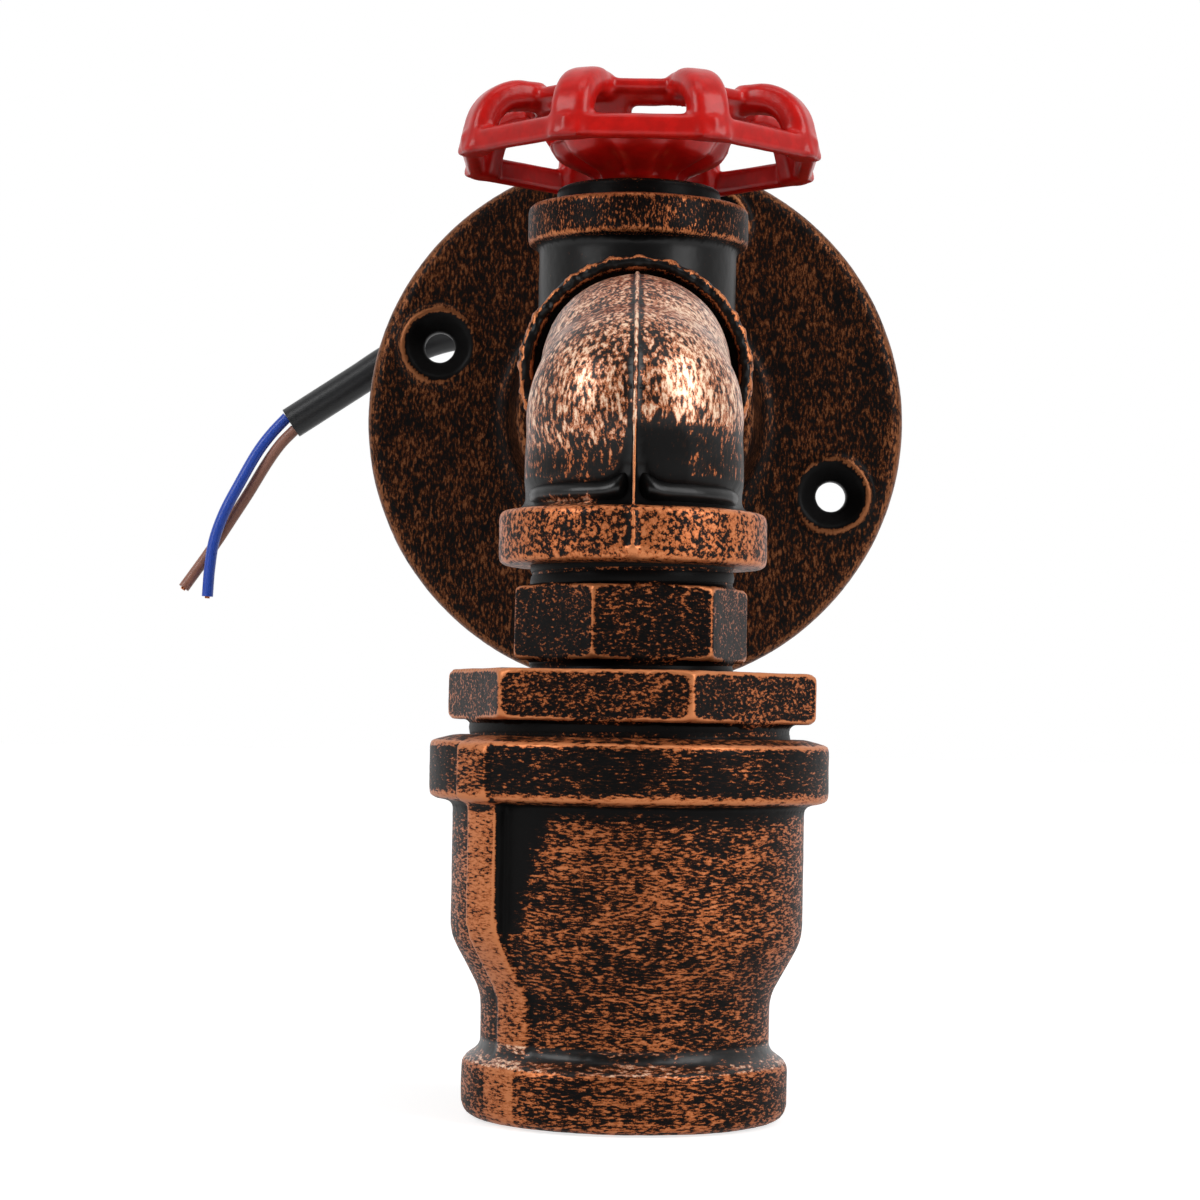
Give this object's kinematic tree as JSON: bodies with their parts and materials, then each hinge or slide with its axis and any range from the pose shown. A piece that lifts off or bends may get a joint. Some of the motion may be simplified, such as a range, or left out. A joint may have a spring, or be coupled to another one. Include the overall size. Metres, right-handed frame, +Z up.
{
  "type": "pipe wall light",
  "caption": "Wall light of cast pipe fittings: round wall flange, tee with a handwheel switch, elbow and a downward bell with a screw lampholder.",
  "frame": {"origin": "centre of the wall flange's back face, on the wall plane", "axes": "+Z up, +Y into the wall, +X to the right seen from the room"},
  "size_m": [0.1244, 0.1698, 0.1458],
  "materials": {
    "antique_copper": "black patina with rubbed copper on the high places",
    "red_enamel": "gloss enamel",
    "black_enamel": "satin black",
    "bright_steel": "zinc plated",
    "brass": "plain",
    "black_plastic": "matte",
    "white_plastic": "matte",
    "white_ceramic": "glazed",
    "black_rubber": "matte",
    "cable_sheath": "smooth",
    "blue_insulation": "smooth",
    "brown_insulation": "smooth"
  },
  "bodies": {
    "fixture": {"wall_flange": "antique_copper", "wall_nipple": "antique_copper", "cable_grommet": "black_rubber", "tee": "antique_copper", "bonnet_plug": "black_enamel", "switch_bush": "brass", "switch_nut": "brass", "switch_case": "black_plastic", "switch_cover": "black_plastic", "switch_terminals": "brass", "street_elbow": "antique_copper", "hex_nipple": "antique_copper", "hex_bushing": "antique_copper", "bell_reducer": "antique_copper", "retaining_ring": "bright_steel", "lampholder_body": "white_ceramic", "lampholder_base": "white_ceramic", "screw_shell": "brass", "centre_contact": "brass", "holder_terminals": "brass", "terminal_screws": "bright_steel", "inner_cable": "cable_sheath", "live_lead": "brown_insulation", "switched_lead": "brown_insulation", "neutral_lead": "blue_insulation", "supply_cable": "cable_sheath", "blue_core": "blue_insulation", "brown_core": "brown_insulation"},
    "wheel": {"handwheel": "red_enamel", "stem": "bright_steel", "wheel_washer": "bright_steel", "wheel_nut": "bright_steel", "switch_rotor": "white_plastic"}
  },
  "joints": [
    {"name": "wheel_turn", "type": "hinge", "parent": "fixture", "child": "wheel", "pos_m": [0, -0.0495, 0.031], "axis": [0, 0, 1], "continuous": true}
  ]
}
